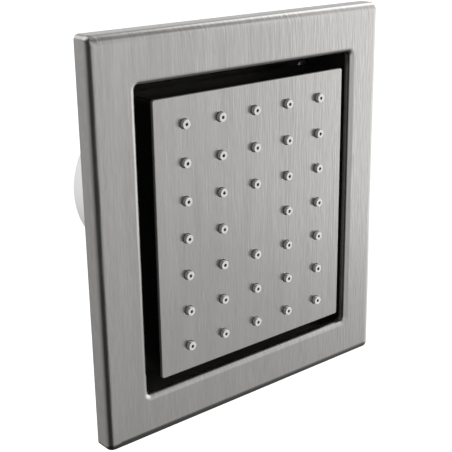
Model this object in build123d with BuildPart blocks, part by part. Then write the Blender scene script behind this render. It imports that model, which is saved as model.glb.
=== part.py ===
from build123d import *
from math import atan, cos, degrees, radians, sin, sqrt
import os

os.makedirs("parts", exist_ok=True)

# Recessed shower body jet: a swivelling spray head in a metal trim, on a round body inside the wall.
# Millimetres. +X is right seen from the front, -Y points out of the wall at the bather, +Z is up.
# The origin is on the head's axis in the plane of the finished wall. Every depth below is counted
# outwards from that plane, so what lies inside the wall has a negative depth.

# Spray head, seen from the front
head_width = 84.6
head_height = 96.3
head_depth = 16.5
head_corner_radius = 0.8
face_proud = 0.9
face_thickness = 1.2
face_edge_radius = 0.35
skirt_depth = 15.9
skirt_wall = 0.8
skirt_clearance = 0.1

# Nozzle grid, with no nozzle in its middle
nozzle_columns = 5
nozzle_rows = 7
nozzle_side_margin = 12.0
nozzle_top_margin = 9.15
nozzle_tip_radius = 1.52
nozzle_base_radius = 1.56
nozzle_tip_bevel = 0.07
nozzle_orifice_radius = 0.57
nozzle_inlet_radius = 1.1
nozzle_height = 1.6
nozzle_hole_clearance = 0.25
mat_thickness = 1.5

# Inside of the spray head
housing_side_wall = 1.7
housing_back_wall = 3.0
housing_back_fillet = 1.2
pocket_corner_radius = 1.5
tray_clearance = 0.15
nozzle_plate_thickness = 2.5
plate_slot_width = 3.0
plate_slot_overrun = 3.0
head_gasket_thickness = 1.0
head_gasket_width = 3.0
corner_boss_radius = 3.0
corner_boss_inset = 4.0
corner_post_radius = 3.8
head_screw_radius = 1.5
head_screw_head_radius = 2.8
head_screw_head_height = 1.8
head_screw_engagement = 4.0
screw_clearance = 0.2
thread_clearance = 0.05

# Ball swivel
swing_angle = 6.0
swing_clearance = 0.75
pivot_setback = 9.7
ball_radius = 10.0
joint_clearance = 0.06
seat_thickness = 1.9
seat_front_angle = 40.0
seat_back_angle = 70.0
socket_wall = 4.0
water_port_radius = 6.4
ball_seal_thickness = 2.4
seal_gland_clearance = 0.1
nut_front_gap = 2.0
nut_wall = 3.4
nut_mouth_angle = 140.0
nut_mouth_flare = 1.4
nut_back_reach = 9.7
nut_flutes = 12
nut_flute_radius = 2.0

# Trim frame
side_gap = 5.1
top_gap = 4.65
side_border = 16.1
top_border = 17.05
trim_depth = 8.8
trim_edge_radius = 3.85
trim_corner_radius = 1.8
opening_corner_radius = 1.0
trim_front_wall = 2.6
trim_rim = 2.4
lip_radius = 2.3
trim_post_radius = 2.4
trim_post_spacing = 80.0
trim_post_end_gap = 0.4
grommet_wall = 1.4
grommet_collar = 1.0

# Recess box and its seal on the wall
recess_step = 2.5
recess_wall = 1.6
recess_corner_radius = 1.5
recess_floor_thickness = 1.8
recess_flange_thickness = 2.0
flange_clearance = 0.6
wall_seal_thickness = 1.0
wall_seal_margin = 1.5
floor_hole_radius = 24.0

# Round body inside the wall
body_depth = 62.3
barrel_radius = 30.1
barrel_wall = 2.8
barrel_back_wall = 4.0
barrel_back_fillet = 1.0
body_gasket_thickness = 1.0
body_gasket_margin = 1.0
body_flange_thickness = 3.2
body_flange_margin = 2.4
body_flange_corner_radius = 4.0
body_screw_side_inset = 2.9
body_screw_top_inset = 9.8
body_screw_radius = 1.5
body_screw_head_radius = 2.7
body_screw_head_height = 1.8
body_screw_head_chamfer = 0.6
body_screw_tip_gap = 0.5
gusset_count = 8
gusset_thickness = 2.0
gusset_reach = 9.0
gusset_length = 14.0

# Water inlet
inlet_thread_radius = 9.3
inlet_thread_length = 13.0
inlet_hex_across = 27.0
inlet_hex_length = 10.0
inlet_shank_radius = 12.0
inlet_gasket_thickness = 2.0
inlet_gasket_radius = 16.0
lock_nut_across = 32.0
lock_nut_thickness = 4.5
strainer_thickness = 1.0
strainer_hole_radius = 1.2
strainer_ring_radius = 5.0
strainer_ring_holes = 8
regulator_thickness = 3.0
regulator_radius = 8.5
regulator_orifice_radius = 2.5
regulator_clearance = 0.1
inlet_web = 2.8
inlet_web_bore_radius = 5.0
stem_socket_depth = 7.0
stem_tail_radius = 8.0
stem_tail_gap = 0.2
stem_hex_across = 20.0
stem_hex_thickness = 4.0
stem_neck_radius = 5.0
stem_bore_radius = 3.5
stem_seal_thickness = 1.5
stem_seal_width = 1.8

# Depths of the spray head's layers, from the face to the back
face_depth = trim_depth + face_proud
tip_depth = face_depth + nozzle_height
shoulder_depth = tip_depth - nozzle_tip_bevel
plate_back = face_depth - face_thickness
skirt_back = face_depth - skirt_depth
mat_back = plate_back - mat_thickness
nozzle_plate_back = mat_back - nozzle_plate_thickness
ledge_depth = nozzle_plate_back - head_gasket_thickness
head_back = face_depth - head_depth
chamber_floor = head_back + housing_back_wall
pivot_depth = head_back - pivot_setback

# Outlines of the spray head
skirt_inner_width = head_width - 2 * skirt_wall
skirt_inner_height = head_height - 2 * skirt_wall
housing_width = skirt_inner_width - 2 * skirt_clearance
housing_height = skirt_inner_height - 2 * skirt_clearance
pocket_width = housing_width - 2 * housing_side_wall
pocket_height = housing_height - 2 * housing_side_wall
tray_width = pocket_width - 2 * tray_clearance
tray_height = pocket_height - 2 * tray_clearance
chamber_width = pocket_width - 2 * head_gasket_width
chamber_height = pocket_height - 2 * head_gasket_width
boss_spacing_x = pocket_width - 2 * corner_boss_inset
boss_spacing_z = pocket_height - 2 * corner_boss_inset
boss_hole_radius = corner_boss_radius + tray_clearance
head_screw_hole_radius = head_screw_radius + screw_clearance
head_screw_recess_radius = head_screw_head_radius + screw_clearance
head_screw_seat = head_back + head_screw_head_height
head_screw_tip = ledge_depth + head_screw_engagement

# Radii and depths of the ball swivel
seat_inner_radius = ball_radius + joint_clearance
seat_outer_radius = seat_inner_radius + seat_thickness
socket_radius = seat_outer_radius + joint_clearance
spigot_radius = socket_radius + socket_wall
gland_half = ball_seal_thickness / 2 + seal_gland_clearance
gland_radius = seat_inner_radius + ball_seal_thickness + seal_gland_clearance
spigot_back = pivot_depth + gland_half
nut_bore_radius = spigot_radius + thread_clearance
nut_radius = nut_bore_radius + nut_wall
nut_front = head_back - nut_front_gap
nut_back = pivot_depth - nut_back_reach
nut_mouth_radius = seat_inner_radius * sin(radians(nut_mouth_angle))
nut_mouth_depth = pivot_depth + seat_inner_radius * cos(radians(nut_mouth_angle))

# Outlines and depths of the trim and the recess
opening_width = head_width + 2 * side_gap
opening_height = head_height + 2 * top_gap
trim_width = opening_width + 2 * side_border
trim_height = opening_height + 2 * top_border
trim_wall_back = trim_depth - trim_front_wall
hollow_width = trim_width - 2 * trim_rim
hollow_height = trim_height - 2 * trim_rim
recess_inner_width = opening_width + 2 * recess_step
recess_inner_height = opening_height + 2 * recess_step
recess_outer_width = recess_inner_width + 2 * recess_wall
recess_outer_height = recess_inner_height + 2 * recess_wall
recess_outer_radius = recess_corner_radius + recess_wall
flange_width = hollow_width - 2 * flange_clearance
flange_height = hollow_height - 2 * flange_clearance
trim_post_x = (recess_outer_width + flange_width) / 4
trim_post_end = wall_seal_thickness + trim_post_end_gap
grommet_radius = trim_post_radius + grommet_wall
swing_room = (head_width + head_height) / 2 * sin(radians(swing_angle)) + swing_clearance
floor_front = head_back - swing_room
floor_back = floor_front - recess_floor_thickness

# Outlines and depths of the round body
body_screw_spacing_x = recess_inner_width - 2 * body_screw_side_inset
body_screw_spacing_z = recess_inner_height - 2 * body_screw_top_inset
body_flange_width = body_screw_spacing_x + 2 * body_flange_margin
body_flange_height = body_screw_spacing_z + 2 * body_flange_margin
body_gasket_width = body_flange_width - 2 * body_gasket_margin
body_gasket_height = body_flange_height - 2 * body_gasket_margin
body_flange_front = floor_back - body_gasket_thickness
body_flange_back = body_flange_front - body_flange_thickness
body_screw_hole_radius = body_screw_radius + screw_clearance
body_screw_tip = body_flange_back + body_screw_tip_gap
barrel_back = -body_depth
barrel_inner_back = barrel_back + barrel_back_wall
barrel_inner_radius = barrel_radius - barrel_wall

# Depths of the water inlet, from its mouth forwards
inlet_gasket_back = barrel_back - inlet_gasket_thickness
inlet_mouth = inlet_gasket_back - inlet_hex_length
thread_front = inlet_mouth + inlet_thread_length
strainer_front = thread_front + strainer_thickness
regulator_front = strainer_front + regulator_thickness
web_front = regulator_front + inlet_web
inlet_front = web_front + stem_socket_depth
regulator_pocket_radius = regulator_radius + regulator_clearance
shank_hole_radius = inlet_shank_radius + thread_clearance
stem_socket_radius = stem_tail_radius + thread_clearance
stem_tail_end = web_front + stem_tail_gap
stem_hex_back = inlet_front + stem_seal_thickness
stem_hex_front = stem_hex_back + stem_hex_thickness

# Places of the things that repeat, as points across and up the face
nozzle_column_pitch = (head_width - 2 * nozzle_side_margin) / (nozzle_columns - 1)
nozzle_row_pitch = (head_height - 2 * nozzle_top_margin) / (nozzle_rows - 1)
nozzle_places = [
    (nozzle_column_pitch * column, nozzle_row_pitch * row)
    for column in range(-(nozzle_columns // 2), nozzle_columns // 2 + 1)
    for row in range(-(nozzle_rows // 2), nozzle_rows // 2 + 1)
    if (column, row) != (0, 0)
]
trim_post_places = [
    (side * trim_post_x, end * trim_post_spacing / 2) for side in (-1, 1) for end in (-1, 1)
]
nozzle_hole_radius = nozzle_base_radius + nozzle_hole_clearance
nozzle_length = shoulder_depth - plate_back
nozzle_taper = degrees(atan((nozzle_base_radius - nozzle_tip_radius) / nozzle_length))
plate_slot_length = (nozzle_rows - 1) * nozzle_row_pitch + 2 * plate_slot_overrun

# Plane through the axis: its first direction is a radius, its second the depth
section = Plane(origin=(0, 0, 0), x_dir=(1, 0, 0), z_dir=(0, 0, -1))


def turned_section(angle):
    """Return the section plane turned about the head's axis by an angle in degrees."""
    across = (cos(radians(angle)), 0, sin(radians(angle)))
    normal = (sin(radians(angle)), 0, -cos(radians(angle)))
    return Plane(origin=(0, 0, 0), x_dir=across, z_dir=normal)


# Trim frame: a hollow-backed casting with a full round outside and a rolled lip round its opening
with BuildPart() as trim_frame:
    with BuildSketch(Plane.XZ):
        RectangleRounded(trim_width, trim_height, trim_corner_radius)
    extrude(amount=trim_depth)
    fillet(trim_frame.faces().sort_by(Axis.Y)[0].edges(), radius=trim_edge_radius)
    with BuildSketch(Plane.XZ):
        RectangleRounded(hollow_width, hollow_height, trim_corner_radius)
    extrude(amount=trim_wall_back, mode=Mode.SUBTRACT)
    with BuildSketch(Plane.XZ):
        RectangleRounded(opening_width, opening_height, opening_corner_radius)
    extrude(amount=trim_depth, mode=Mode.SUBTRACT)
    lip_edges = trim_frame.faces().sort_by(Axis.Y)[0].inner_wires()[0].edges()
    fillet(lip_edges, radius=lip_radius)
    with BuildSketch(Plane.XZ.offset(trim_post_end)):
        with Locations(*trim_post_places):
            Circle(trim_post_radius)
    extrude(amount=trim_wall_back - trim_post_end)

# Grommets that grip the trim's posts, set in the flange of the recess box
with BuildPart() as trim_grommets:
    with BuildSketch(Plane.XZ.offset(wall_seal_thickness)):
        with Locations(*trim_post_places):
            Circle(grommet_radius)
            Circle(trim_post_radius, mode=Mode.SUBTRACT)
    extrude(amount=recess_flange_thickness + grommet_collar)

# Foam seal between the flange of the recess box and the wall
with BuildPart() as wall_seal:
    with BuildSketch(Plane.XZ):
        Rectangle(flange_width - wall_seal_margin, flange_height - wall_seal_margin)
        RectangleRounded(
            recess_outer_width + wall_seal_margin,
            recess_outer_height + wall_seal_margin,
            recess_outer_radius,
            mode=Mode.SUBTRACT,
        )
    extrude(amount=wall_seal_thickness)

# Recess box: a dark tray with a flange on the wall and a hole for the swivel in its floor
with BuildPart() as recess_box:
    with BuildSketch(Plane.XZ.offset(floor_back)):
        RectangleRounded(recess_outer_width, recess_outer_height, recess_outer_radius)
    extrude(amount=trim_wall_back - floor_back)
    fillet(recess_box.faces().sort_by(Axis.Y)[-1].edges(), radius=recess_wall)
    with BuildSketch(Plane.XZ.offset(wall_seal_thickness)):
        RectangleRounded(flange_width, flange_height, trim_corner_radius)
    extrude(amount=recess_flange_thickness)
    with BuildSketch(Plane.XZ.offset(floor_front)):
        RectangleRounded(recess_inner_width, recess_inner_height, recess_corner_radius)
    extrude(amount=trim_wall_back - floor_front, mode=Mode.SUBTRACT)
    with BuildSketch(Plane.XZ.offset(floor_back)):
        Circle(floor_hole_radius)
        with GridLocations(body_screw_spacing_x, body_screw_spacing_z, 2, 2):
            Circle(body_screw_hole_radius)
    extrude(amount=recess_floor_thickness, mode=Mode.SUBTRACT)
    with BuildSketch(Plane.XZ.offset(wall_seal_thickness)):
        with Locations(*trim_post_places):
            Circle(grommet_radius)
    extrude(amount=recess_flange_thickness, mode=Mode.SUBTRACT)

# Gasket between the recess box and the round body
with BuildPart() as body_gasket:
    with BuildSketch(Plane.XZ.offset(body_flange_front)):
        RectangleRounded(body_gasket_width, body_gasket_height, body_flange_corner_radius)
        Circle(barrel_inner_radius, mode=Mode.SUBTRACT)
        with GridLocations(body_screw_spacing_x, body_screw_spacing_z, 2, 2):
            Circle(body_screw_hole_radius, mode=Mode.SUBTRACT)
    extrude(amount=body_gasket_thickness)

# Round body: a pale moulded cup with a rectangular flange and gussets
with BuildPart() as round_body:
    with BuildSketch(Plane.XZ.offset(barrel_back)):
        Circle(barrel_radius)
    extrude(amount=body_flange_back - barrel_back)
    fillet(round_body.faces().sort_by(Axis.Y)[-1].edges(), radius=barrel_back_fillet)
    with BuildSketch(Plane.XZ.offset(body_flange_back)):
        RectangleRounded(body_flange_width, body_flange_height, body_flange_corner_radius)
    extrude(amount=body_flange_thickness)
    for number in range(gusset_count):
        with BuildSketch(turned_section(360 / gusset_count * (number + 0.5))):
            with BuildLine():
                Polyline(
                    (barrel_inner_radius, body_flange_back),
                    (barrel_radius + gusset_reach, body_flange_back),
                    (barrel_radius, body_flange_back - gusset_length),
                    (barrel_inner_radius, body_flange_back - gusset_length),
                    close=True,
                )
            make_face()
        extrude(amount=gusset_thickness / 2, both=True)
    with BuildSketch(Plane.XZ.offset(barrel_inner_back)):
        Circle(barrel_inner_radius)
    extrude(amount=body_flange_front - barrel_inner_back, mode=Mode.SUBTRACT)
    with BuildSketch(Plane.XZ.offset(barrel_back)):
        Circle(shank_hole_radius)
    extrude(amount=barrel_back_wall, mode=Mode.SUBTRACT)
    with BuildSketch(Plane.XZ.offset(body_flange_back)):
        with GridLocations(body_screw_spacing_x, body_screw_spacing_z, 2, 2):
            Circle(body_screw_radius + thread_clearance)
    extrude(amount=body_flange_thickness, mode=Mode.SUBTRACT)

# Screws that hold the recess box to the round body, at the corners of the recess floor
with BuildPart() as body_screws:
    with BuildSketch(Plane.XZ.offset(body_screw_tip)):
        with GridLocations(body_screw_spacing_x, body_screw_spacing_z, 2, 2):
            Circle(body_screw_radius)
    extrude(amount=floor_front - body_screw_tip)
    with BuildSketch(Plane.XZ.offset(floor_front)):
        with GridLocations(body_screw_spacing_x, body_screw_spacing_z, 2, 2):
            Circle(body_screw_head_radius)
    extrude(amount=body_screw_head_height)
    chamfer(
        body_screws.edges().filter_by(GeomType.CIRCLE).group_by(Axis.Y)[0],
        length=body_screw_head_chamfer,
    )

# Inlet adapter: threaded for the supply pipe at the back, for the ball stem at the front
with BuildPart() as inlet_adapter:
    with BuildSketch(Plane.XZ.offset(inlet_mouth)):
        RegularPolygon(inlet_hex_across / 2, 6, major_radius=False)
    extrude(amount=inlet_hex_length)
    with BuildSketch(Plane.XZ.offset(inlet_gasket_back)):
        Circle(inlet_shank_radius)
    extrude(amount=inlet_front - inlet_gasket_back)
    with BuildSketch(Plane.XZ.offset(inlet_mouth)):
        Circle(inlet_thread_radius)
    extrude(amount=inlet_thread_length, mode=Mode.SUBTRACT)
    with BuildSketch(Plane.XZ.offset(thread_front)):
        Circle(regulator_pocket_radius)
    extrude(amount=regulator_front - thread_front, mode=Mode.SUBTRACT)
    with BuildSketch(Plane.XZ.offset(regulator_front)):
        Circle(inlet_web_bore_radius)
    extrude(amount=inlet_web, mode=Mode.SUBTRACT)
    with BuildSketch(Plane.XZ.offset(web_front)):
        Circle(stem_socket_radius)
    extrude(amount=stem_socket_depth, mode=Mode.SUBTRACT)

# Gasket under the adapter's hexagon
with BuildPart() as inlet_gasket:
    with BuildSketch(Plane.XZ.offset(inlet_gasket_back)):
        Circle(inlet_gasket_radius)
        Circle(shank_hole_radius, mode=Mode.SUBTRACT)
    extrude(amount=inlet_gasket_thickness)

# Lock nut on the adapter, inside the round body
with BuildPart() as inlet_lock_nut:
    with BuildSketch(Plane.XZ.offset(barrel_inner_back)):
        RegularPolygon(lock_nut_across / 2, 6, major_radius=False)
        Circle(shank_hole_radius, mode=Mode.SUBTRACT)
    extrude(amount=lock_nut_thickness)

# Strainer disc across the inlet
with BuildPart() as strainer_screen:
    with BuildSketch(Plane.XZ.offset(thread_front)):
        Circle(regulator_radius)
        Circle(strainer_hole_radius, mode=Mode.SUBTRACT)
        with PolarLocations(strainer_ring_radius, strainer_ring_holes):
            Circle(strainer_hole_radius, mode=Mode.SUBTRACT)
    extrude(amount=strainer_thickness)

# Flow regulator behind the web of the adapter
with BuildPart() as flow_regulator:
    with BuildSketch(Plane.XZ.offset(strainer_front)):
        Circle(regulator_radius)
        Circle(regulator_orifice_radius, mode=Mode.SUBTRACT)
    extrude(amount=regulator_thickness)

# Ball stem: the fixed ball of the swivel on a bored neck, screwed into the adapter
with BuildPart() as ball_stem:
    with BuildSketch(Plane.XZ.offset(stem_tail_end)):
        Circle(stem_tail_radius)
    extrude(amount=stem_hex_back - stem_tail_end)
    with BuildSketch(Plane.XZ.offset(stem_hex_back)):
        RegularPolygon(stem_hex_across / 2, 6, major_radius=False)
    extrude(amount=stem_hex_thickness)
    with BuildSketch(Plane.XZ.offset(stem_hex_front)):
        Circle(stem_neck_radius)
    extrude(amount=pivot_depth - stem_hex_front)
    with Locations((0, -pivot_depth, 0)):
        Sphere(ball_radius)
    with BuildSketch(Plane.XZ.offset(stem_tail_end)):
        Circle(stem_bore_radius)
    extrude(amount=pivot_depth + ball_radius - stem_tail_end, mode=Mode.SUBTRACT)

# Seal ring between the stem's hexagon and the adapter
with BuildPart() as stem_seal:
    with BuildSketch(Plane.XZ.offset(inlet_front)):
        Circle(stem_socket_radius + stem_seal_width)
        Circle(stem_socket_radius, mode=Mode.SUBTRACT)
    extrude(amount=stem_seal_thickness)

# Seat ring: a zone of a hollow sphere that floats between the ball and the head's socket
with BuildPart() as ball_seat:
    with BuildSketch(section):
        with BuildLine():
            inner_arc = CenterArc(
                (0, pivot_depth),
                seat_inner_radius,
                90 - seat_back_angle,
                seat_back_angle - seat_front_angle,
            )
            outer_arc = CenterArc(
                (0, pivot_depth),
                seat_outer_radius,
                90 - seat_back_angle,
                seat_back_angle - seat_front_angle,
            )
            Line(inner_arc @ 0, outer_arc @ 0)
            Line(inner_arc @ 1, outer_arc @ 1)
        make_face()
    revolve(axis=Axis.Y)

# Spray face: a pan of metal drawn back over the housing, holed for the nozzles, with four screw bosses
with BuildPart() as spray_face:
    with BuildSketch(Plane.XZ.offset(skirt_back)):
        RectangleRounded(head_width, head_height, head_corner_radius)
    extrude(amount=skirt_depth)
    fillet(spray_face.faces().sort_by(Axis.Y)[0].edges(), radius=face_edge_radius)
    with BuildSketch(Plane.XZ.offset(skirt_back)):
        Rectangle(skirt_inner_width, skirt_inner_height)
    extrude(amount=plate_back - skirt_back, mode=Mode.SUBTRACT)
    with BuildSketch(Plane.XZ.offset(plate_back)):
        with Locations(*nozzle_places):
            Circle(nozzle_hole_radius)
    extrude(amount=face_thickness, mode=Mode.SUBTRACT)
    with BuildSketch(Plane.XZ.offset(ledge_depth)):
        with GridLocations(boss_spacing_x, boss_spacing_z, 2, 2):
            Circle(corner_boss_radius)
    extrude(amount=plate_back - ledge_depth)
    with BuildSketch(Plane.XZ.offset(ledge_depth)):
        with GridLocations(boss_spacing_x, boss_spacing_z, 2, 2):
            Circle(head_screw_radius + thread_clearance)
    extrude(amount=head_screw_engagement, mode=Mode.SUBTRACT)

# Nozzle mat: one soft moulding, a sheet with a tapered nozzle through each hole of the face
with BuildPart() as nozzle_mat:
    with BuildSketch(Plane.XZ.offset(mat_back)):
        RectangleRounded(tray_width, tray_height, pocket_corner_radius)
        with GridLocations(boss_spacing_x, boss_spacing_z, 2, 2):
            Circle(boss_hole_radius, mode=Mode.SUBTRACT)
    extrude(amount=mat_thickness)
    with BuildSketch(Plane.XZ.offset(plate_back)):
        with Locations(*nozzle_places):
            Circle(nozzle_base_radius)
    extrude(amount=nozzle_length, taper=nozzle_taper)
    with BuildSketch(Plane.XZ.offset(shoulder_depth)):
        with Locations(*nozzle_places):
            Circle(nozzle_tip_radius)
    extrude(amount=nozzle_tip_bevel, taper=45)
    with BuildSketch(Plane.XZ.offset(plate_back)):
        with Locations(*nozzle_places):
            Circle(nozzle_orifice_radius)
    extrude(amount=tip_depth - plate_back, mode=Mode.SUBTRACT)
    with BuildSketch(Plane.XZ.offset(mat_back)):
        with Locations(*nozzle_places):
            Circle(nozzle_inlet_radius)
    extrude(amount=mat_thickness, mode=Mode.SUBTRACT)

# Nozzle plate: backs the mat, with a slot behind each column of nozzles
with BuildPart() as nozzle_plate:
    with BuildSketch(Plane.XZ.offset(nozzle_plate_back)):
        RectangleRounded(tray_width, tray_height, pocket_corner_radius)
        with GridLocations(boss_spacing_x, boss_spacing_z, 2, 2):
            Circle(boss_hole_radius, mode=Mode.SUBTRACT)
        with GridLocations(nozzle_column_pitch, nozzle_row_pitch, nozzle_columns, 1):
            SlotOverall(plate_slot_length, plate_slot_width, rotation=90, mode=Mode.SUBTRACT)
    extrude(amount=nozzle_plate_thickness)

# Gasket between the nozzle plate and the ledge of the housing
with BuildPart() as head_gasket:
    with BuildSketch(Plane.XZ.offset(ledge_depth)):
        RectangleRounded(tray_width, tray_height, pocket_corner_radius)
        RectangleRounded(chamber_width, chamber_height, pocket_corner_radius, mode=Mode.SUBTRACT)
        with GridLocations(boss_spacing_x, boss_spacing_z, 2, 2):
            Circle(boss_hole_radius, mode=Mode.SUBTRACT)
    extrude(amount=head_gasket_thickness)

# Head housing: the dark water box behind the face, with the socket of the swivel on its back
with BuildPart() as head_housing:
    with BuildSketch(Plane.XZ.offset(head_back)):
        RectangleRounded(housing_width, housing_height, housing_back_fillet)
    extrude(amount=plate_back - head_back)
    fillet(head_housing.faces().sort_by(Axis.Y)[-1].edges(), radius=housing_back_fillet)
    with BuildSketch(Plane.XZ.offset(ledge_depth)):
        RectangleRounded(pocket_width, pocket_height, pocket_corner_radius)
    extrude(amount=plate_back - ledge_depth, mode=Mode.SUBTRACT)
    with BuildSketch(Plane.XZ.offset(chamber_floor)):
        RectangleRounded(chamber_width, chamber_height, pocket_corner_radius)
        with GridLocations(boss_spacing_x, boss_spacing_z, 2, 2):
            Circle(corner_post_radius, mode=Mode.SUBTRACT)
    extrude(amount=ledge_depth - chamber_floor, mode=Mode.SUBTRACT)
    with BuildSketch(Plane.XZ.offset(spigot_back)):
        Circle(spigot_radius)
    extrude(amount=chamber_floor - spigot_back)
    with Locations((0, -pivot_depth, 0)):
        Sphere(socket_radius, mode=Mode.SUBTRACT)
    with BuildSketch(Plane.XZ.offset(spigot_back)):
        Circle(water_port_radius)
    extrude(amount=chamber_floor - spigot_back, mode=Mode.SUBTRACT)
    with BuildSketch(Plane.XZ.offset(head_back)):
        with GridLocations(boss_spacing_x, boss_spacing_z, 2, 2):
            Circle(head_screw_hole_radius)
    extrude(amount=ledge_depth - head_back, mode=Mode.SUBTRACT)
    with BuildSketch(Plane.XZ.offset(head_back)):
        with GridLocations(boss_spacing_x, boss_spacing_z, 2, 2):
            Circle(head_screw_recess_radius)
    extrude(amount=head_screw_head_height, mode=Mode.SUBTRACT)

# Screws that draw the face onto the housing, let into its back
with BuildPart() as head_screws:
    with BuildSketch(Plane.XZ.offset(head_back)):
        with GridLocations(boss_spacing_x, boss_spacing_z, 2, 2):
            Circle(head_screw_head_radius)
    extrude(amount=head_screw_head_height)
    with BuildSketch(Plane.XZ.offset(head_screw_seat)):
        with GridLocations(boss_spacing_x, boss_spacing_z, 2, 2):
            Circle(head_screw_radius)
    extrude(amount=head_screw_tip - head_screw_seat)

# Seal ring round the middle of the ball
with BuildPart() as ball_seal:
    with BuildSketch(section):
        with Locations((seat_inner_radius + ball_seal_thickness / 2, pivot_depth)):
            Circle(ball_seal_thickness / 2)
    revolve(axis=Axis.Y)

# Collar nut: holds the ball from behind, with a mouth wide enough for the neck to swing
with BuildPart() as collar_nut:
    with BuildSketch(section):
        with BuildLine():
            gland_corner = (sqrt(seat_inner_radius**2 - gland_half**2), pivot_depth - gland_half)
            mouth = (nut_mouth_radius, nut_mouth_depth)
            RadiusArc(mouth, gland_corner, -seat_inner_radius)
            Polyline(
                gland_corner,
                (gland_radius, pivot_depth - gland_half),
                (gland_radius, spigot_back),
                (nut_bore_radius, spigot_back),
                (nut_bore_radius, nut_front),
                (nut_radius, nut_front),
                (nut_radius, nut_back),
                (nut_mouth_radius + nut_mouth_flare, nut_back),
                mouth,
            )
        make_face()
    revolve(axis=Axis.Y)
    with BuildSketch(Plane.XZ.offset(nut_back)):
        with PolarLocations(nut_radius + nut_flute_radius / 2, nut_flutes):
            Circle(nut_flute_radius)
    extrude(amount=nut_front - nut_back, mode=Mode.SUBTRACT)

trim_frame.part.label = "trim_frame"
export_step(trim_frame.part, "parts/trim_frame.step")
trim_grommets.part.label = "trim_grommets"
export_step(trim_grommets.part, "parts/trim_grommets.step")
wall_seal.part.label = "wall_seal"
export_step(wall_seal.part, "parts/wall_seal.step")
recess_box.part.label = "recess_box"
export_step(recess_box.part, "parts/recess_box.step")
body_gasket.part.label = "body_gasket"
export_step(body_gasket.part, "parts/body_gasket.step")
round_body.part.label = "round_body"
export_step(round_body.part, "parts/round_body.step")
body_screws.part.label = "body_screws"
export_step(body_screws.part, "parts/body_screws.step")
inlet_adapter.part.label = "inlet_adapter"
export_step(inlet_adapter.part, "parts/inlet_adapter.step")
inlet_gasket.part.label = "inlet_gasket"
export_step(inlet_gasket.part, "parts/inlet_gasket.step")
inlet_lock_nut.part.label = "inlet_lock_nut"
export_step(inlet_lock_nut.part, "parts/inlet_lock_nut.step")
strainer_screen.part.label = "strainer_screen"
export_step(strainer_screen.part, "parts/strainer_screen.step")
flow_regulator.part.label = "flow_regulator"
export_step(flow_regulator.part, "parts/flow_regulator.step")
ball_stem.part.label = "ball_stem"
export_step(ball_stem.part, "parts/ball_stem.step")
stem_seal.part.label = "stem_seal"
export_step(stem_seal.part, "parts/stem_seal.step")
ball_seat.part.label = "ball_seat"
export_step(ball_seat.part, "parts/ball_seat.step")
spray_face.part.label = "spray_face"
export_step(spray_face.part, "parts/spray_face.step")
nozzle_mat.part.label = "nozzle_mat"
export_step(nozzle_mat.part, "parts/nozzle_mat.step")
nozzle_plate.part.label = "nozzle_plate"
export_step(nozzle_plate.part, "parts/nozzle_plate.step")
head_gasket.part.label = "head_gasket"
export_step(head_gasket.part, "parts/head_gasket.step")
head_housing.part.label = "head_housing"
export_step(head_housing.part, "parts/head_housing.step")
head_screws.part.label = "head_screws"
export_step(head_screws.part, "parts/head_screws.step")
ball_seal.part.label = "ball_seal"
export_step(ball_seal.part, "parts/ball_seal.step")
collar_nut.part.label = "collar_nut"
export_step(collar_nut.part, "parts/collar_nut.step")
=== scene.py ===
"""Looks of the recessed shower body jet: its finishes, small pieces, studio light and camera."""

import logging
import math
from dataclasses import dataclass
from enum import Enum

import bmesh
import bpy
from mathutils import Matrix, Quaternion, Vector

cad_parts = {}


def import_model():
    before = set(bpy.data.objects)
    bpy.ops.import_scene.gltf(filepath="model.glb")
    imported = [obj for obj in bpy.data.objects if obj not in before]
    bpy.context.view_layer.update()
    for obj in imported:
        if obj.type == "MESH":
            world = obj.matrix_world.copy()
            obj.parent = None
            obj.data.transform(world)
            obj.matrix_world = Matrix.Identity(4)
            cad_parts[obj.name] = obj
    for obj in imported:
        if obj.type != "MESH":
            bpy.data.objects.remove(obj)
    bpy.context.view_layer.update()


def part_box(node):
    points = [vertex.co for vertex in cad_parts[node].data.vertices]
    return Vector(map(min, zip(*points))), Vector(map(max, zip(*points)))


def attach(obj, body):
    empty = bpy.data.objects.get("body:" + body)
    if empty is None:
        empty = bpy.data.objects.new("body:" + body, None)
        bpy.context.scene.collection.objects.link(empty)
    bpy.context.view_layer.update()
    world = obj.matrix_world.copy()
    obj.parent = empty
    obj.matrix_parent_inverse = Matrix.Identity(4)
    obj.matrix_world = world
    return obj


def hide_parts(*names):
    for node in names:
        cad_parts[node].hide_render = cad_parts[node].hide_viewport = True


LOG = logging.getLogger("body_jet")
MM = 0.001
WHITE = (1.0, 1.0, 1.0, 1.0)
MERGE_DISTANCE = 1.0e-7
SHARP_ANGLE = math.radians(38.0)
CORNER_ANGLE = 0.5

Colour = tuple[float, float, float]
Span = tuple[float, float]
Pairs = tuple[Span, ...]
Socket = bpy.types.NodeSocket


class Body(Enum):
    """The rigid body that the built pieces ride on."""

    WALL_SET = "wall_set"


class Slot(Enum):
    """The material slots that a piece can take its finish from."""

    SEAL_RUBBER = "seal_rubber"
    SCREW_STEEL = "screw_steel"
    INLET_BRASS = "inlet_brass"


class GrainRun(Enum):
    """How the marks of a metal's last working pass run, as noise cells per metre."""

    UPRIGHT = (2600.0, 420.0, 195.0)
    TURNED = (260.0, 2600.0, 260.0)
    EVEN = (900.0, 900.0, 900.0)


def reckon(tree: bpy.types.NodeTree, operation: str, *values: Socket | float) -> Socket:
    """Add a Math node to a node tree.

    Args:
        tree: node tree to add to.
        operation: Blender's identifier of the operation.
        values: sockets to link or numbers to set, in the node's order.

    Returns:
        The socket of the result.
    """
    node = tree.nodes.new("ShaderNodeMath")
    node.operation = operation
    for value, socket in zip(values, node.inputs):
        if isinstance(value, bpy.types.NodeSocket):
            tree.links.new(value, socket)
        else:
            socket.default_value = value
    return node.outputs["Value"]


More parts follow.
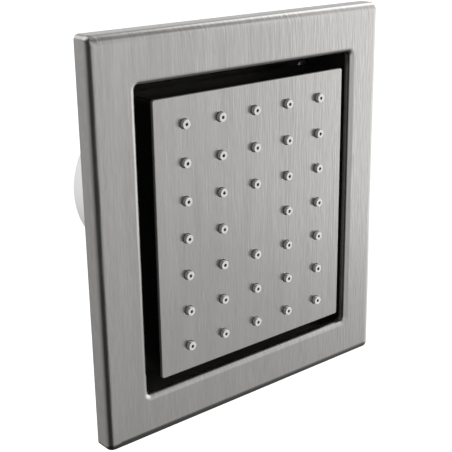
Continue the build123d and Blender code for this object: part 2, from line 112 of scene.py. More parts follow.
def toward(bearing: float, height: float) -> Vector:
    """Turn a direction in degrees into a vector.

    Args:
        bearing: angle from the front, positive to the right.
        height: angle above the horizon.

    Returns:
        The vector, of length 1.
    """
    across, up = math.radians(bearing), math.radians(height)
    return Vector((math.sin(across) * math.cos(up), -math.cos(across) * math.cos(up), math.sin(up)))


def to_scene(name: str, data: bpy.types.ID) -> bpy.types.Object:
    """Return a new object of the scene.

    Args:
        name: name of the object.
        data: its mesh, lamp or camera.

    Returns:
        The object, at the origin.
    """
    obj = bpy.data.objects.new(name, data)
    bpy.context.scene.collection.objects.link(obj)
    return obj


class ShaderGraph:
    """The node tree of one finish, built round its Principled shader."""

    def __init__(self, name: str) -> None:
        """Start a material with a Principled shader and Object coordinates.

        Args:
            name: name of the material.
        """
        self.material = bpy.data.materials.new(name)
        self.material.use_nodes = True
        self.tree = self.material.node_tree
        self.shader = self.tree.nodes["Principled BSDF"]
        self.place = self.add("ShaderNodeTexCoord").outputs["Object"]

    def add(self, kind: str, **settings: object) -> bpy.types.Node:
        """Add a node.

        Args:
            kind: Blender's identifier of the node.
            settings: properties of the node to set.

        Returns:
            The new node.
        """
        node = self.tree.nodes.new(kind)
        for key, value in settings.items():
            setattr(node, key, value)
        return node

    def join(self, source: Socket, target: Socket) -> None:
        """Link an output socket to an input socket."""
        self.tree.links.new(source, target)

    def noise(
        self, cells: tuple[float, float, float], detail: float = 2.0, rough: float = 0.5
    ) -> Socket:
        """Add a noise texture on Object coordinates.

        Args:
            cells: noise cells per metre along X, Y and Z.
            detail: number of finer octaves.
            rough: weight of the finer octaves.

        Returns:
            The socket of the noise value, from 0 to 1.
        """
        mapping = self.add("ShaderNodeMapping")
        mapping.inputs["Scale"].default_value = cells
        self.join(self.place, mapping.inputs["Vector"])
        texture = self.add("ShaderNodeTexNoise")
        texture.inputs["Scale"].default_value = 1.0
        texture.inputs["Detail"].default_value = detail
        texture.inputs["Roughness"].default_value = rough
        self.join(mapping.outputs["Vector"], texture.inputs["Vector"])
        return texture.outputs["Fac"]

    def spread(
        self, value: Socket, low: float, high: float, start: float = 0.3, end: float = 0.7
    ) -> Socket:
        """Map a value onto a new range.

        Args:
            value: socket to read.
            low: result at start.
            high: result at end.
            start: value that gives low.
            end: value that gives high.

        Returns:
            The socket of the mapped value.
        """
        node = self.add("ShaderNodeMapRange")
        node.inputs["From Min"].default_value = start
        node.inputs["From Max"].default_value = end
        node.inputs["To Min"].default_value = low
        node.inputs["To Max"].default_value = high
        self.join(value, node.inputs["Value"])
        return node.outputs["Result"]

    def total(self, first: Socket, second: Socket) -> Socket:
        """Return the socket of the sum of two values."""
        return reckon(self.tree, "ADD", first, second)

    def lesser(self, first: Socket, second: Socket) -> Socket:
        """Return the socket of the smaller of two values."""
        return reckon(self.tree, "MINIMUM", first, second)

    def axis(self, letter: str) -> Socket:
        """Return the socket of one Object coordinate."""
        node = self.add("ShaderNodeSeparateXYZ")
        self.join(self.place, node.inputs["Vector"])
        return node.outputs[letter]

    def off_middle(self, letter: str) -> Socket:
        """Return the socket of one Object coordinate without its sign."""
        return reckon(self.tree, "ABSOLUTE", self.axis(letter))

    def off_grid(self, pitch: Span) -> Socket:
        """Measure how far a point stands from the nearest axis of an upright grid.

        Args:
            pitch: spacing of the grid along X and Z.

        Returns:
            The socket of the distance.
        """
        apart = self.add("ShaderNodeCombineXYZ")
        for letter, step in zip("XZ", pitch):
            fold = reckon(self.tree, "PINGPONG", self.axis(letter), step / 2)
            self.join(fold, apart.inputs[letter])
        node = self.add("ShaderNodeVectorMath", operation="LENGTH")
        self.join(apart.outputs["Vector"], node.inputs[0])
        return node.outputs["Value"]

    def mix(self, share: Socket) -> tuple[Socket, Socket]:
        """Colour the shader by a mix of two colours.

        Args:
            share: socket of the share of the second colour.

        Returns:
            The sockets of the first and the second colour.
        """
        node = self.add("ShaderNodeMix", data_type="RGBA")
        self.join(share, node.inputs["Factor"])
        result = next(socket for socket in node.outputs if socket.type == "RGBA")
        self.join(result, self.shader.inputs["Base Color"])
        first, second = (socket for socket in node.inputs if socket.type == "RGBA")
        return first, second

    def tint(self, value: Socket, dark: Colour, light: Colour) -> None:
        """Colour the shader between two colours.

        Args:
            value: socket that chooses, 0 for dark and 1 for light.
            dark: linear colour at 0.
            light: linear colour at 1.
        """
        for socket, colour in zip(self.mix(value), (dark, light)):
            socket.default_value = (*colour, 1.0)

    def shade(self, value: Socket, colour: Colour) -> None:
        """Blend the colour that the shader has so far into another one.

        Args:
            value: socket of the share of the other colour.
            colour: linear colour to blend in.
        """
        so_far = self.shader.inputs["Base Color"].links[0].from_socket
        first, second = self.mix(value)
        self.join(so_far, first)
        second.default_value = (*colour, 1.0)

    def relief(self, height: Socket, depth: float) -> None:
        """Give the shader a bump.

        Args:
            height: socket of the height, from 0 to 1.
            depth: height of 1 in metres.
        """
        node = self.add("ShaderNodeBump")
        node.inputs["Strength"].default_value = 1.0
        node.inputs["Distance"].default_value = depth
        self.join(height, node.inputs["Height"])
        self.join(node.outputs["Normal"], self.shader.inputs["Normal"])

    def rough(self, value: Socket) -> None:
        """Link a value to the shader's roughness."""
        self.join(value, self.shader.inputs["Roughness"])

    def fix(self, **constants: float) -> None:
        """Set constants on the shader's own sockets, an underscore standing for a space."""
        for key, value in constants.items():
            self.shader.inputs[key.replace("_", " ")].default_value = value


@dataclass(frozen=True)
class Finish:
    """A surface finish that can make its Blender material."""

    name: str

    def make(self) -> bpy.types.Material:
        """Return the material of this finish."""
        raise NotImplementedError


@dataclass(frozen=True)
class BrushedMetal(Finish):
    """Stainless metal, brushed in one direction, with fine streaks on wide bands."""

    dark: Colour = (0.59, 0.579, 0.564)
    light: Colour = (0.662, 0.65, 0.633)
    run: GrainRun = GrainRun.UPRIGHT
    gloss: Span = (0.2, 0.24)
    stretch: float = 0.75
    stretch_turn: float = 0.25
    groove: float = 4.3e-5
    groove_share: float = 0.5
    banding: float = 0.28
    band_share: float = 0.12
    lean: float = 0.01

    def make(self) -> bpy.types.Material:
        """Return the material, with streaks in colour, roughness and bump."""
        return self.brush().material

    def brush(self) -> ShaderGraph:
        """Return the node tree of the brushed surface."""
        graph = ShaderGraph(self.name)
        streaks = graph.noise(self.run.value, detail=3.0, rough=0.6)
        bands = graph.noise(tuple(c * self.band_share for c in self.run.value))
        grooves = graph.noise(tuple(c * self.groove_share for c in self.run.value), detail=1.0)
        fine = graph.spread(streaks, 0.0, 1.0)
        wide = graph.spread(bands, -self.banding, self.banding)
        graph.tint(graph.total(fine, wide), self.dark, self.light)
        graph.rough(graph.spread(bands, *self.gloss))
        graph.relief(grooves, self.groove)
        graph.fix(Metallic=1.0, Anisotropic=self.stretch, Anisotropic_Rotation=self.stretch_turn)
        # The tangent leans a little, so that faces that point up have one too
        along = graph.add("ShaderNodeCombineXYZ")
        along.inputs["Y"].default_value = self.lean
        along.inputs["Z"].default_value = 1.0
        graph.join(along.outputs["Vector"], graph.shader.inputs["Tangent"])
        return graph


@dataclass(frozen=True)
class LippedTrim(BrushedMetal):
    """Brushed metal of the trim, duller on its rolled lip, with a painted dark reflection line on
    the right of it.
    """

    front: float = 0.0
    lip_depth: Span = (0.9 * MM, 2.0 * MM)
    lip_reach: Span = (50.5 * MM, 56.0 * MM)
    lip_fade: float = 1.0 * MM
    lip_dullness: float = 0.17
    line_depth: Span = (0.85 * MM, 1.25 * MM)
    line_fade: float = 0.25 * MM
    line_side: float = 43.0 * MM
    painted_reflection_tone: Colour = (0.1, 0.097, 0.094)

    def make(self) -> bpy.types.Material:
        """Return the material, brushed in front, and dull with a painted dark reflection line
        inside the opening.
        """
        graph = self.brush()
        depth = graph.axis("Y")
        start, end = (self.front + place for place in self.lip_depth)
        dull = graph.spread(depth, 0.0, self.lip_dullness, start, end)
        brushed = graph.shader.inputs["Roughness"].links[0].from_socket
        graph.rough(graph.total(brushed, self.inside(graph, dull, self.lip_dullness)))
        # Painted reflection: a dark line on the right side of the lip stands in for the dark gap
        # mirrored in it
        start, end = (self.front + place for place in self.line_depth)
        painted_line = graph.lesser(
            graph.spread(depth, 0.0, 1.0, start - self.line_fade, start),
            graph.spread(depth, 1.0, 0.0, end, end + self.line_fade),
        )
        side = (self.line_side, self.line_side + self.lip_fade)
        right = graph.spread(graph.axis("X"), 0.0, 1.0, *side)
        graph.shade(graph.lesser(self.inside(graph, painted_line, 1.0), right), self.painted_reflection_tone)
        return graph.material

    def inside(self, graph: ShaderGraph, value: Socket, most: float) -> Socket:
        """Keep a value inside the opening and on its lip.

        Args:
            graph: the node tree.
            value: socket of the value.
            most: the largest that the value can be.

        Returns:
            The socket of the value, which fades to 0 outside.
        """
        for letter, half in zip("XZ", self.lip_reach):
            near = graph.spread(graph.off_middle(letter), most, 0.0, half, half + self.lip_fade)
            value = graph.lesser(value, near)
        return value


@dataclass(frozen=True)
class DrawnPan(BrushedMetal):
    """Brushed metal of a drawn pan, dull on its rim, with painted shade on its sides that is
    darkest just behind the brushed front.
    """

    front: float = 0.0
    edge: Span = (0.18 * MM, 0.5 * MM)
    edge_painted_shade: Colour = (0.2, 0.192, 0.182)
    skirt: Span = (2.0 * MM, 9.0 * MM)
    skirt_painted_tone: Colour = (0.62, 0.6, 0.575)
    rim: Span = (0.2 * MM, 0.35 * MM)
    rim_end: Span = (1.1 * MM, 1.3 * MM)
    rim_dullness: float = 0.95

    def make(self) -> bpy.types.Material:
        """Return the material, brushed in front, dull on the rim and with painted shade on the
        sides.
        """
        graph = self.brush()
        depth = graph.axis("Y")
        dull = (self.front + place for place in self.rim)
        bright = (self.front + place for place in self.rim_end)
        graph.join(
            graph.total(
                graph.spread(depth, 1.0, 1.0 - self.rim_dullness, *dull),
                graph.spread(depth, 0.0, self.rim_dullness, *bright),
            ),
            graph.shader.inputs["Metallic"],
        )
        # Painted shade: the sides are painted darkest just behind the brushed front and lighter
        # again towards the back
        for (start, end), tone in ((self.edge, self.edge_painted_shade), (self.skirt, self.skirt_painted_tone)):
            graph.shade(graph.spread(depth, 0.0, 1.0, self.front + start, self.front + end), tone)
        return graph.material


@dataclass(frozen=True)
class MouldedPlastic(Finish):
    """Injection moulded plastic with a fine spark-eroded texture."""

    dark: Colour = (0.033, 0.031, 0.030)
    light: Colour = (0.044, 0.042, 0.040)
    gloss: Span = (0.38, 0.5)
    drift_cells: float = 45.0
    texture_cells: float = 1400.0
    texture_depth: float = 6.0e-6

    def make(self) -> bpy.types.Material:
        """Return the material, with slow colour drift and a fine grain."""
        graph = ShaderGraph(self.name)
        drift = graph.noise((self.drift_cells,) * 3, detail=3.0)
        grain = graph.noise((self.texture_cells,) * 3)
        graph.tint(graph.spread(drift, 0.0, 1.0), self.dark, self.light)
        graph.rough(graph.spread(drift, *self.gloss))
        graph.relief(grain, self.texture_depth)
        return graph.material


@dataclass(frozen=True)
class SoftRubber(Finish):
    """Rubber or silicone: a matt, slightly uneven skin."""

    dark: Colour = (0.018, 0.018, 0.018)
    light: Colour = (0.030, 0.030, 0.030)
    gloss: Span = (0.55, 0.7)
    cells: float = 700.0
    skin_depth: float = 1.0e-5

    def make(self) -> bpy.types.Material:
        """Return the material, with a mottled skin."""
        return self.mottle().material

    def mottle(self) -> ShaderGraph:
        """Return the node tree of the mottled skin."""
        graph = ShaderGraph(self.name)
        mottle = graph.noise((self.cells,) * 3, detail=3.0, rough=0.6)
        graph.tint(graph.spread(mottle, 0.0, 1.0), self.dark, self.light)
        graph.rough(graph.spread(mottle, *self.gloss))
        graph.relief(mottle, self.skin_depth)
        return graph


@dataclass(frozen=True)
class NozzleSkin(SoftRubber):
    """Pale silicone of the nozzles, with painted shade in the bores and round the roots."""

    front: float = 0.0
    pitch: Span = (15.15 * MM, 13.0 * MM)
    bore: float = 0.58 * MM
    bore_fade: float = 0.05 * MM
    bore_painted_shade: Colour = (0.27, 0.27, 0.265)
    root: float = 0.45 * MM
    root_painted_shade: Colour = (0.14, 0.14, 0.136)

    def make(self) -> bpy.types.Material:
        """Return the material, pale on the tips, with painted shade darkening the bores and the
        roots.
        """
        graph = self.mottle()
        # Painted shade on the last part of each nozzle before the face
        low = graph.spread(graph.axis("Y"), 0.0, 1.0, self.front - self.root, self.front)
        graph.shade(low, self.root_painted_shade)
        # Painted shade in each bore, round the axes of the nozzle grid
        edge = (self.bore, self.bore + self.bore_fade)
        graph.shade(graph.spread(graph.off_grid(self.pitch), 1.0, 0.0, *edge), self.bore_painted_shade)
        return graph.material


@dataclass(frozen=True)
class TurnedMetal(Finish):
    """Metal finished on a lathe or a press, with marks that follow its run."""

    dark: Colour = (0.55, 0.55, 0.54)
    light: Colour = (0.68, 0.68, 0.67)
    run: GrainRun = GrainRun.TURNED
    gloss: Span = (0.2, 0.34)
    tarnish_cells: float = 90.0
    mark_depth: float = 6.0e-6

    def make(self) -> bpy.types.Material:
        """Return the material, with tool marks and slow tarnish."""
        graph = ShaderGraph(self.name)
        marks = graph.noise(self.run.value)
        tarnish = graph.noise((self.tarnish_cells,) * 3, detail=4.0, rough=0.6)
        graph.tint(graph.spread(tarnish, 0.0, 1.0), self.dark, self.light)
        graph.rough(graph.spread(tarnish, *self.gloss))
        graph.relief(marks, self.mark_depth)
        graph.fix(Metallic=1.0)
        return graph.material


def wear(node: str, finish: bpy.types.Material) -> None:
    """Put a finish on every material slot of a CAD node.

    Args:
        node: name of the node.
        finish: material to assign.
    """
    obj = bpy.data.objects[node]
    for slot in obj.material_slots:
        slot.material = finish
    LOG.info("%s wears %s", node, finish.name)


def to_piece(
    mesh: bmesh.types.BMesh, name: str, body: Body, finish: bpy.types.Material
) -> bpy.types.Object:
    """Turn a bmesh into a smooth shaded piece that rides on a body.

    Args:
        mesh: the bmesh, in metres in the model's frame; it is freed.
        name: name of the piece.
        body: body to ride on.
        finish: its material.

    Returns:
        The new object.
    """
    bmesh.ops.remove_doubles(mesh, verts=mesh.verts, dist=MERGE_DISTANCE)
    bmesh.ops.recalc_face_normals(mesh, faces=mesh.faces)
    data = bpy.data.meshes.new(name)
    mesh.to_mesh(data)
    mesh.free()
    data.shade_smooth()
    data.set_sharp_from_angle(angle=SHARP_ANGLE)
    data.materials.append(finish)
    obj = to_scene(name, data)
    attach(obj, body.value)
    LOG.info("%s built with %d faces, rides on %s", name, len(data.polygons), body.value)
    return obj


@dataclass
class TrimSet:
    """The metal trim, the dark recess box behind it and their seals."""

    metal: bpy.types.Material
    plastic: bpy.types.Material
    rubber: bpy.types.Material
    foam: bpy.types.Material
    foam_rim: Span = (7.5 * MM, 8.45 * MM)
    foam_edge: float = 0.3 * MM

    def dress(self) -> None:
        """Give the trim, the recess box and the grommets their finishes."""
        wear("trim_frame", self.metal)
        wear("recess_box", self.plastic)
        wear("trim_grommets", self.rubber)

    def build_wall_seal(self) -> bpy.types.Object:
        """Build the foam ring that seals the recess box on the wall.

        Returns:
            The foam ring, which stands for the plain one.
        """
        low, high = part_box("wall_seal")
        middle = (low + high) / 2
        size = high - low
        rim = Vector((self.foam_rim[0], 0.0, self.foam_rim[1]))
        mesh = bmesh.new()
        bmesh.ops.create_grid(mesh, x_segments=1, y_segments=1, size=0.5)
        # The inset only divides the plate, and its corners get their places after it
        plate = mesh.faces[:]
        ring = bmesh.ops.inset_region(mesh, faces=plate, thickness=0.1, use_boundary=True)["faces"]
        inner = [face for face in mesh.faces if face not in ring]
        corners = {vert for face in inner for vert in face.verts}
        for vert in mesh.verts:
            side = Vector((math.copysign(0.5, vert.co.x), 0.0, math.copysign(0.5, vert.co.y)))
            reach = Vector((side.x * size.x, low.y, side.z * size.z))
            if vert in corners:
                reach -= Vector((2 * side.x * rim.x, 0.0, 2 * side.z * rim.z))
            vert.co = reach + Vector((middle.x, 0.0, middle.z))
        bmesh.ops.delete(mesh, geom=inner, context="FACES_ONLY")
        raised = bmesh.ops.extrude_face_region(mesh, geom=list(mesh.faces))
        lifted = [item for item in raised["geom"] if isinstance(item, bmesh.types.BMVert)]
        bmesh.ops.translate(mesh, verts=lifted, vec=(0.0, size.y, 0.0))
        mesh.normal_update()
        bmesh.ops.bevel(
            mesh,
            geom=[edge for edge in mesh.edges if edge.calc_face_angle(0.0) > CORNER_ANGLE],
            offset=self.foam_edge,
            offset_type="OFFSET",
            affect="EDGES",
            segments=3,
            profile=0.5,
            material=-1,
        )
        obj = to_piece(mesh, "wall_seal_foam", Body.WALL_SET, self.foam)
        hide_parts("wall_seal")
        return obj


@dataclass
class SprayHead:
    """The swivelling head: brushed face, nozzles and dark housing."""

    metal: bpy.types.Material
    silicone: bpy.types.Material
    plastic: bpy.types.Material
    rubber: bpy.types.Material
    steel: bpy.types.Material
    seat: bpy.types.Material

    def dress(self) -> None:
        """Give each layer of the head and the swivel its finish."""
        wear("spray_face", self.metal)
        wear("nozzle_mat", self.silicone)
        for node in ("nozzle_plate", "head_housing", "collar_nut"):
            wear(node, self.plastic)
        for node in ("head_gasket", "ball_seal"):
            wear(node, self.rubber)
        wear("head_screws", self.steel)
        wear("ball_seat", self.seat)


@dataclass
class RoundBody:
    """The pale round body inside the wall and the screws that hold it.

    The outline of a screw's head is given in shares of its radius and height, below its flat top.
    """

    pale: bpy.types.Material
    rubber: bpy.types.Material
    steel: bpy.types.Material
    head_radius: float = 2.7 * MM
    shank_radius: float = 1.5 * MM
    head_height: float = 1.8 * MM
    head_sides: int = 36
    head_flat: float = 0.66
    head_outline: Pairs = ((0.86, -0.10), (0.97, -0.28), (1.0, -0.5), (1.0, -1.0))
    cross_width: float = 2.7 * MM
    cross_depth: float = 1.1 * MM
    cross_taper: float = 0.72

    def dress(self) -> None:
        """Give the body and its gasket their finishes."""
        wear("round_body", self.pale)
        wear("body_gasket", self.rubber)

    def add_screw(self, mesh: bmesh.types.BMesh, place: Vector, length: float) -> None:
        """Add one pan head screw with a cross recess to a bmesh.

        Args:
            mesh: the bmesh to add to.
            place: middle of the head's top.
            length: whole length of the screw.
        """
        old = set(mesh.verts)
        bmesh.ops.create_grid(mesh, x_segments=3, y_segments=3, size=self.cross_width / 2)
        cross = [face for face in mesh.faces if not old.intersection(face.verts)]
        third = self.cross_width / 6
        spare = [f for f in cross if all(abs(c) > third for c in f.calc_center_median()[:2])]
        cross = [face for face in cross if face not in spare]
        bmesh.ops.delete(mesh, geom=spare, context="FACES")
        rim = [edge for face in cross for edge in face.edges if edge.is_boundary]
        flat_radius = self.head_radius * self.head_flat
        top = bmesh.ops.create_circle(mesh, segments=self.head_sides, radius=flat_radius)["verts"]
        ring = list({edge for vert in top for edge in vert.link_edges})
        bmesh.ops.bridge_loops(mesh, edges=rim + ring)
        sunk = bmesh.ops.extrude_face_region(mesh, geom=cross)["geom"]
        bmesh.ops.delete(mesh, geom=cross, context="FACES_ONLY")
        floor = [item for item in sunk if isinstance(item, bmesh.types.BMVert)]
        bmesh.ops.translate(mesh, verts=floor, vec=(0.0, 0.0, -self.cross_depth))
        bmesh.ops.scale(mesh, verts=floor, vec=(self.cross_taper, self.cross_taper, 1.0))
        steps = [(self.head_radius * r, self.head_height * z) for r, z in self.head_outline]
        steps += [(self.shank_radius, -self.head_height), (self.shank_radius, -length)]
        for radius, level in steps:
            new = bmesh.ops.extrude_edge_only(mesh, edges=ring)["geom"]
            top = [item for item in new if isinstance(item, bmesh.types.BMVert)]
            ring = [item for item in new if isinstance(item, bmesh.types.BMEdge)]
            ring = [edge for edge in ring if all(vert in top for vert in edge.verts)]
            for vert in top:
                flat = Vector((vert.co.x, vert.co.y, 0.0)).normalized() * radius
                vert.co = Vector((flat.x, flat.y, level))
        bmesh.ops.contextual_create(mesh, geom=ring)
        made = [vert for vert in mesh.verts if vert not in old]
        turn = Matrix.Translation(place) @ Matrix.Rotation(math.radians(90.0), 4, "X")
        bmesh.ops.transform(mesh, matrix=turn, verts=made)

    def build_screws(self) -> bpy.types.Object:
        """Build the four screws at the corners of the recess floor.

        Returns:
            The screws, which stand for the plain ones.
        """
        low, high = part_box("body_screws")
        mesh = bmesh.new()
        for side in (low.x + self.head_radius, high.x - self.head_radius):
            for level in (low.z + self.head_radius, high.z - self.head_radius):
                self.add_screw(mesh, Vector((side, low.y, level)), high.y - low.y)
        obj = to_piece(mesh, "body_cross_screws", Body.WALL_SET, self.steel)
        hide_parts("body_screws")
        return obj


@dataclass
class WaterInlet:
    """The threaded brass inlet with its strainer, regulator and seals.

    The ridge of its thread is given in shares of the thread's height and pitch.
    """

    brass: bpy.types.Material
    steel: bpy.types.Material
    rubber: bpy.types.Material
    regulator: bpy.types.Material
    bore_radius: float = 9.3 * MM
    mouth_gap: float = 0.6
    thread_length: float = 13.0 * MM
    thread_pitch: float = 1.81 * MM
    thread_height: float = 0.5 * MM
    thread_ridge: Pairs = ((0.05, 0.0), (-1.0, 0.36), (-1.0, 0.52), (0.05, 0.88))
    bare_turns: float = 1.5
    turn_steps: int = 48

    def dress(self) -> None:
        """Give the inlet's pieces their finishes."""
        for node in ("inlet_adapter", "inlet_lock_nut", "ball_stem"):
            wear(node, self.brass)
        for node in ("inlet_gasket", "stem_seal"):
            wear(node, self.rubber)
        wear("strainer_screen", self.steel)
        wear("flow_regulator", self.regulator)

    def build_thread(self) -> bpy.types.Object:
        """Build the screw thread inside the inlet.

        Returns:
            The thread, one helical ridge on the bore.
        """
        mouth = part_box("inlet_adapter")[1].y
        pitch = self.thread_pitch
        turns = int(self.thread_length / pitch) - self.bare_turns
        start = mouth - self.mouth_gap * pitch - turns * pitch - pitch
        steps = int(turns * self.turn_steps)
        mesh = bmesh.new()
        verts = [
            mesh.verts.new((self.bore_radius + self.thread_height * r, start + pitch * y, 0.0))
            for r, y in self.thread_ridge
        ]
        edges = [mesh.edges.new(pair) for pair in zip(verts, verts[1:] + verts[:1])]
        bmesh.ops.spin(
            mesh,
            geom=verts + edges,
            cent=(0.0, 0.0, 0.0),
            axis=(0.0, 1.0, 0.0),
            dvec=(0.0, pitch * turns / steps, 0.0),
            angle=2 * math.pi * turns,
            steps=steps,
        )
        bmesh.ops.holes_fill(mesh, edges=[edge for edge in mesh.edges if edge.is_boundary])
        return to_piece(mesh, "inlet_screw_thread", Body.WALL_SET, self.brass)


@dataclass(frozen=True)
class Panel:
    """A soft round light panel, by its bearing, height and half size in degrees."""

    bearing: float
    height: float
    size: float
    level: float
    core: float = 0.25

    def glow(self, tree: bpy.types.NodeTree) -> Socket:
        """Add the panel to the studio.

        Args:
            tree: the world's node tree.

        Returns:
            The socket of the panel's brightness.
        """
        dot = tree.nodes.new("ShaderNodeVectorMath")
        dot.operation = "DOT_PRODUCT"
        dot.inputs[1].default_value = toward(self.bearing, self.height)
        tree.links.new(tree.nodes.new("ShaderNodeTexCoord").outputs["Generated"], dot.inputs[0])
        fade = tree.nodes.new("ShaderNodeMapRange")
        fade.interpolation_type = "SMOOTHSTEP"
        fade.inputs["From Min"].default_value = math.cos(math.radians(self.size))
        fade.inputs["From Max"].default_value = math.cos(math.radians(self.size * self.core))
        fade.inputs["To Max"].default_value = self.level
        tree.links.new(dot.outputs["Value"], fade.inputs["Value"])
        return fade.outputs["Result"]


@dataclass(frozen=True)
class Band:
    """A band of light, by its brightness round the horizon and its share at each height."""

    around: Pairs
    rise: Pairs

    @staticmethod
    def ramp(tree: bpy.types.NodeTree, angle: Socket, reach: float, stops: Pairs) -> Socket:
        """Turn an angle into a brightness.

        Args:
            tree: the world's node tree.
            angle: socket of the angle in radians.
            reach: largest angle in degrees; the smallest is its negative.
            stops: angle in degrees and brightness, in rising order.

        Returns:
            The socket of the brightness.
        """
        part = tree.nodes.new("ShaderNodeMapRange")
        part.inputs["From Min"].default_value = -math.radians(reach)
        part.inputs["From Max"].default_value = math.radians(reach)
        tree.links.new(angle, part.inputs["Value"])
        node = tree.nodes.new("ShaderNodeValToRGB")
        node.color_ramp.interpolation = "EASE"
        elements = node.color_ramp.elements
        while len(elements) < len(stops):
            elements.new(0.5)
        for element, (degrees, level) in zip(elements, stops):
            element.position = (degrees + reach) / (2 * reach)
            element.color = (level, level, level, 1.0)
        tree.links.new(part.outputs["Result"], node.inputs["Fac"])
        return node.outputs["Color"]

    def glow(self, tree: bpy.types.NodeTree, bearing: Socket, height: Socket) -> Socket:
        """Add the band to the studio.

        Args:
            tree: the world's node tree.
            bearing: socket of the bearing in radians, 0 in front and positive to the right.
            height: socket of the height in radians.

        Returns:
            The socket of the band's brightness.
        """
        across = self.ramp(tree, bearing, 180.0, self.around)
        up = self.ramp(tree, height, 90.0, self.rise)
        return reckon(tree, "MULTIPLY", across, up)


AMBIENT = Band(
    around=(
        (-180.0, 0.30),
        (-150.0, 0.287),
        (-135.0, 0.245),
        (-120.0, 0.18),
        (-108.0, 0.105),
        (-99.0, 0.02),
        (-60.0, 0.018),
        (-52.0, 0.36),
        (-38.0, 0.39),
        (-10.0, 0.37),
        (25.0, 0.355),
        (38.0, 0.347),
        (46.0, 0.332),
        (104.0, 0.34),
        (118.0, 0.365),
        (133.0, 0.39),
        (150.0, 0.415),
        (165.0, 0.37),
        (180.0, 0.30),
    ),
    rise=(
        (-90.0, 0.10),
        (-60.0, 0.10),
        (-50.0, 0.11),
        (-41.0, 0.25),
        (-36.0, 0.47),
        (-31.0, 0.77),
        (-25.0, 0.84),
        (-19.0, 0.89),
        (-14.0, 0.97),
        (-8.0, 1.06),
        (4.0, 1.07),
        (14.0, 1.02),
        (24.0, 0.90),
        (36.0, 0.72),
        (46.0, 0.54),
        (51.0, 0.34),
        (58.0, 0.34),
        (72.0, 0.60),
        (90.0, 0.90),
    ),
)
RIGHT_WALL = Band(
    around=(
        (-180.0, 0.0),
        (44.5, 0.0),
        (51.5, 0.76),
        (54.0, 0.76),
        (59.0, 0.36),
        (70.0, 0.42),
        (80.0, 0.75),
        (92.0, 1.05),
        (110.0, 1.05),
        (121.0, 0.5),
        (132.0, 0.0),
        (180.0, 0.0),
    ),
    rise=(
        (-90.0, 0.0),
        (-40.0, 0.03),
        (-27.0, 0.15),
        (-22.0, 0.42),
        (-17.0, 0.86),
        (-6.0, 0.92),
        (5.0, 0.95),
        (32.0, 0.75),
        (42.0, 0.40),
        (49.0, 0.05),
        (60.0, 0.03),
        (90.0, 0.06),
    ),
)


@dataclass
class Lamp:
    """A soft lamp for the matt pieces, aimed at the origin and not mirrored in the metal."""

    name: str
    bearing: float
    height: float
    away: float
    size: float
    power: float

    def build(self) -> bpy.types.Object:
        """Build the lamp.

        Returns:
            The lamp.
        """
        data = bpy.data.lights.new(self.name, "AREA")
        data.shape = "DISK"
        data.size = self.size
        data.energy = self.power
        obj = to_scene(self.name, data)
        aim = toward(self.bearing, self.height)
        obj.location = aim * self.away
        obj.rotation_mode = "QUATERNION"
        obj.rotation_quaternion = (-aim).to_track_quat("-Z", "Y")
        obj.visible_glossy = False
        obj.visible_camera = False
        return obj


@dataclass
class StudioLight:
    """A soft studio: a pale room with a bright right wall, two panels and one dark side."""

    strength: float = 1.6
    white: float = 1.05
    bands: tuple[Band, ...] = (AMBIENT, RIGHT_WALL)
    panels: tuple[Panel, ...] = (
        Panel(bearing=113.0, height=38.5, size=17.0, level=0.57),
        Panel(bearing=-140.0, height=45.0, size=40.0, level=0.6),
    )

    def build(self) -> None:
        """Make the world that lights the object and shows plain white to the camera."""
        world = bpy.data.worlds.new("soft_studio")
        bpy.context.scene.world = world
        world.use_nodes = True
        tree = world.node_tree
        tree.nodes.clear()
        axes = tree.nodes.new("ShaderNodeSeparateXYZ")
        ray = tree.nodes.new("ShaderNodeTexCoord").outputs["Generated"]
        tree.links.new(ray, axes.inputs["Vector"])
        front = reckon(tree, "MULTIPLY", axes.outputs["Y"], -1.0)
        bearing = reckon(tree, "ARCTAN2", axes.outputs["X"], front)
        height = reckon(tree, "ARCSINE", axes.outputs["Z"])
        lights = [band.glow(tree, bearing, height) for band in self.bands]
        lights += [panel.glow(tree) for panel in self.panels]
        level = lights[0]
        for light in lights[1:]:
            level = reckon(tree, "ADD", level, light)
        room = tree.nodes.new("ShaderNodeBackground")
        room.inputs["Color"].default_value = WHITE
        tree.links.new(reckon(tree, "MULTIPLY", level, self.strength), room.inputs["Strength"])
        paper = tree.nodes.new("ShaderNodeBackground")
        paper.inputs["Color"].default_value = WHITE
        paper.inputs["Strength"].default_value = self.white
        choice = tree.nodes.new("ShaderNodeMixShader")
        seen = tree.nodes.new("ShaderNodeLightPath").outputs["Is Camera Ray"]
        tree.links.new(seen, choice.inputs["Fac"])
        tree.links.new(room.outputs["Background"], choice.inputs[1])
        tree.links.new(paper.outputs["Background"], choice.inputs[2])
        out = tree.nodes.new("ShaderNodeOutputWorld")
        tree.links.new(choice.outputs["Shader"], out.inputs["Surface"])
        bpy.context.scene.view_settings.view_transform = "Standard"


@dataclass
class StudioFloor:
    """A plain pale floor, well below the object."""

    level: float = -0.62
    reach: float = 30.0
    tone: Colour = (0.95, 0.95, 0.95)
    glow: float = 0.6

    def build(self) -> bpy.types.Object:
        """Build the floor.

        Returns:
            The floor, which is no part of the object.
        """
        mesh = bmesh.new()
        bmesh.ops.create_grid(mesh, x_segments=4, y_segments=4, size=self.reach)
        bmesh.ops.translate(mesh, verts=mesh.verts, vec=(0.0, 0.0, self.level))
        data = bpy.data.meshes.new("studio_floor")
        mesh.to_mesh(data)
        mesh.free()
        graph = ShaderGraph("pale_floor")
        graph.fix(Roughness=0.9, Specular_IOR_Level=0.0, Emission_Strength=self.glow)
        graph.shader.inputs["Base Color"].default_value = (*self.tone, 1.0)
        graph.shader.inputs["Emission Color"].default_value = WHITE
        data.materials.append(graph.material)
        obj = to_scene("studio_floor", data)
        obj.visible_glossy = False
        obj.visible_diffuse = False
        return obj


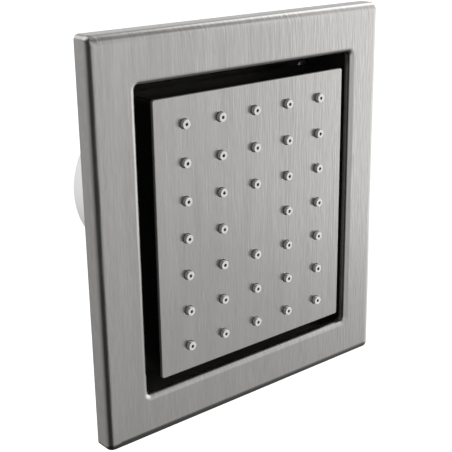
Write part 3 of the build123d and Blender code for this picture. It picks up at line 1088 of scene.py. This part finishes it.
@dataclass
class PhotoCamera:
    """The camera, at the photograph's place and angle."""

    place: Vector = Vector((-222.2 * MM, -261.1 * MM, 110.55 * MM))
    azimuth: float = -39.70
    elevation: float = 18.65
    roll: float = -0.83
    lens: float = 79.99
    sensor: float = 36.0
    shift: Span = (0.00075, 0.0016)
    nearest: float = 0.01

    def build(self) -> bpy.types.Object:
        """Build the camera and make it the scene's own.

        Returns:
            The camera.
        """
        data = bpy.data.cameras.new("photo_camera")
        data.sensor_width = self.sensor
        data.lens = self.lens
        data.shift_x, data.shift_y = self.shift
        data.clip_start = self.nearest
        obj = to_scene("photo_camera", data)
        back = toward(self.azimuth, self.elevation)
        obj.rotation_mode = "QUATERNION"
        turn = Quaternion((0.0, 0.0, 1.0), math.radians(self.roll))
        obj.rotation_quaternion = (-back).to_track_quat("-Z", "Y") @ turn
        obj.location = self.place
        bpy.context.scene.camera = obj
        return obj


def main() -> None:
    """Load the frame, then build and dress the object piece by piece."""
    logging.basicConfig(level=logging.INFO, format="%(name)s: %(message)s")
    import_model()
    metal = LippedTrim("brushed_stainless", front=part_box("trim_frame")[0].y).make()
    plastic = MouldedPlastic("black_moulding").make()
    head_plastic = MouldedPlastic(
        "head_moulding", dark=(0.034, 0.032, 0.030), light=(0.044, 0.041, 0.038), gloss=(0.3, 0.42)
    ).make()
    rubber = SoftRubber("seal_rubber_skin").make()
    foam = SoftRubber(
        "foam_skin",
        dark=(0.02, 0.02, 0.02),
        light=(0.05, 0.05, 0.05),
        gloss=(0.8, 0.95),
        cells=1500.0,
        skin_depth=6.0e-5,
    ).make()
    face_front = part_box("spray_face")[0].y
    pan = DrawnPan("brushed_pan", front=face_front).make()
    silicone = NozzleSkin(
        "nozzle_skin",
        dark=(0.62, 0.62, 0.615),
        light=(0.68, 0.68, 0.675),
        gloss=(0.42, 0.55),
        front=face_front,
    ).make()
    pale = MouldedPlastic(
        "pale_moulding", dark=(0.82, 0.82, 0.818), light=(0.87, 0.87, 0.868), gloss=(0.35, 0.45)
    ).make()
    seat = MouldedPlastic(
        "seat_moulding", dark=(0.60, 0.59, 0.56), light=(0.68, 0.67, 0.64), gloss=(0.35, 0.5)
    ).make()
    regulator = MouldedPlastic(
        "regulator_moulding", dark=(0.06, 0.12, 0.22), light=(0.08, 0.15, 0.27), gloss=(0.35, 0.5)
    ).make()
    steel = TurnedMetal("screw_steel_skin", run=GrainRun.EVEN).make()
    brass = TurnedMetal("turned_brass", dark=(0.62, 0.44, 0.19), light=(0.74, 0.55, 0.27)).make()
    trim = TrimSet(metal, plastic, rubber, foam)
    trim.dress()
    trim.build_wall_seal()
    SprayHead(pan, silicone, head_plastic, rubber, steel, seat).dress()
    body = RoundBody(pale, rubber, steel)
    body.dress()
    body.build_screws()
    inlet = WaterInlet(brass, steel, rubber, regulator)
    inlet.dress()
    inlet.build_thread()
    StudioLight().build()
    Lamp("body_lamp", bearing=-112.0, height=10.0, away=0.6, size=0.4, power=1.78).build()
    Lamp("nozzle_lamp", bearing=55.0, height=12.0, away=0.6, size=0.4, power=4.1).build()
    StudioFloor().build()
    PhotoCamera().build()


if __name__ == "__main__":
    main()
